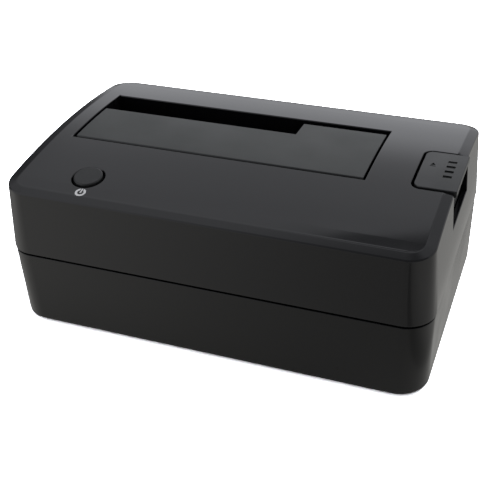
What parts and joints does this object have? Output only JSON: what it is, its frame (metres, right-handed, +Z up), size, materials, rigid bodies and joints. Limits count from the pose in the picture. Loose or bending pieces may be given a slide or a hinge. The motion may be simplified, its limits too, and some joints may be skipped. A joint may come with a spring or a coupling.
{
  "type": "hard drive docking station",
  "caption": "Desktop docking station: a drop-down flap opens onto an upright drive bay, with a power button, a side eject button and a lifting lever.",
  "frame": {"origin": "centre of the footprint, on the plane that the rubber feet rest on", "axes": "+X along the long front towards the eject button, +Y from the front to the ports at the back, +Z up, the way drives are lifted out"},
  "size_m": [0.1436, 0.0922, 0.0558],
  "materials": {
    "black_steel": "black zinc",
    "chip": "moulded epoxy",
    "board": "green solder resist",
    "cable_plastic": "grey vinyl flat cable",
    "lever_plastic": "natural acetal",
    "aluminium_can": "sleeved",
    "nickel": "nickel plated",
    "bay_plastic": "moulded black ABS",
    "key_plastic": "satin",
    "steel": "bright",
    "spring_steel": "bright",
    "flap_plastic": "fine spark-eroded texture",
    "gloss_housing": "moulded gloss black ABS",
    "connector_plastic": "glass-filled nylon",
    "foot_rubber": "soft",
    "gold": "gold flash",
    "lamp": "clear",
    "usb_plastic": "moulded blue"
  },
  "bodies": {
    "housing": {"bay_screws": "black_steel", "board_screws": "black_steel", "bridge_chip": "chip", "button_board": "board", "button_board_screws": "black_steel", "button_cable": "cable_plastic", "cable_headers": "lever_plastic", "capacitors": "aluminium_can", "case_screws": "black_steel", "crystal": "nickel", "drive_bay": "bay_plastic", "eject_lever_pin": "steel", "eject_spring": "spring_steel", "firmware_chip": "chip", "flap_hinge_pin": "steel", "flap_spring": "spring_steel", "lower_shell": "gloss_housing", "main_board": "board", "power_inductor": "chip", "power_jack": "connector_plastic", "power_jack_pin": "nickel", "power_switch": "connector_plastic", "rubber_feet": "foot_rubber", "sata_connector": "connector_plastic", "sata_contacts": "gold", "status_led": "lamp", "upper_shell": "gloss_housing", "usb_socket_shell": "nickel", "usb_socket_tongue": "usb_plastic"},
    "flap": {"flap_door": "flap_plastic"},
    "power_key": {"power_button": "key_plastic", "switch_plunger": "connector_plastic"},
    "eject_key": {"eject_button": "key_plastic"},
    "ejector": {"eject_lever": "lever_plastic"}
  },
  "joints": [
    {"name": "flap_hinge", "type": "hinge", "parent": "housing", "child": "flap", "pos_m": [0, -0.0089, 0.0513], "axis": [-1, 0, 0], "range_deg": [0, 88], "stiffness_Nm_per_rad": 0.008, "springref_deg": -34.38, "deforming": ["flap_spring"]},
    {"name": "power_button_press", "type": "slide", "parent": "housing", "child": "power_key", "axis": [0, 0, -1], "range_m": [0, 0.0012], "stiffness_N_per_m": 900, "springref_m": -0.0012},
    {"name": "eject_button_press", "type": "slide", "parent": "housing", "child": "eject_key", "axis": [0, 0, -1], "range_m": [0, 0.007], "stiffness_N_per_m": 250, "springref_m": -0.004, "deforming": ["eject_spring"]},
    {"name": "eject_lever_pivot", "type": "hinge", "parent": "housing", "child": "ejector", "pos_m": [0.034, 0.00165, 0.0085], "axis": [0, 1, 0], "range_deg": [0, 14]}
  ],
  "couplings": [
    {"joint": "eject_lever_pivot", "follows": "eject_button_press", "rad_per_m": 34.567}
  ]
}
